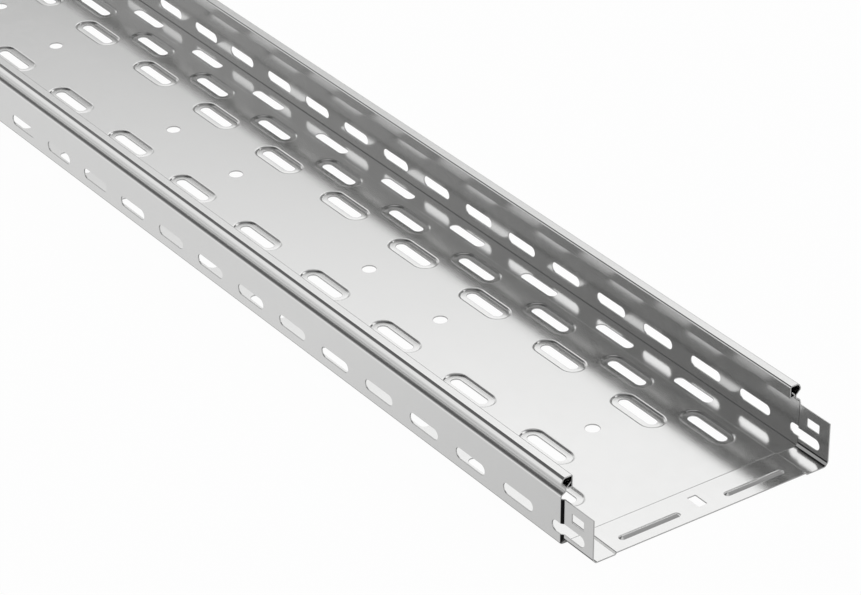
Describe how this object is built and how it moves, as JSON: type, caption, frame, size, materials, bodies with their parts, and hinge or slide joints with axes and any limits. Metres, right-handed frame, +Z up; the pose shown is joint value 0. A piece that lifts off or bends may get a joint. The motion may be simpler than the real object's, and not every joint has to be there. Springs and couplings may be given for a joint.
{
  "type": "perforated cable tray",
  "caption": "Sheet-steel cable tray with slotted base and walls, embossed slots, rolled lid edges and a joggled end that plugs into the next length",
  "frame": {"origin": "under the middle of the tray's length and width, on the plane its outer base strips lie on", "axes": "+X along the tray from the joggled end to the plain end, +Y across to the left wall as seen from the joggled end, +Z up out of the open side"},
  "size_m": [2, 0.2, 0.05],
  "materials": {
    "galvanised_sheet": "smooth hot-dip galvanised sheet, satin grey"
  },
  "bodies": {
    "root": {"tray": "galvanised_sheet"}
  },
  "joints": []
}
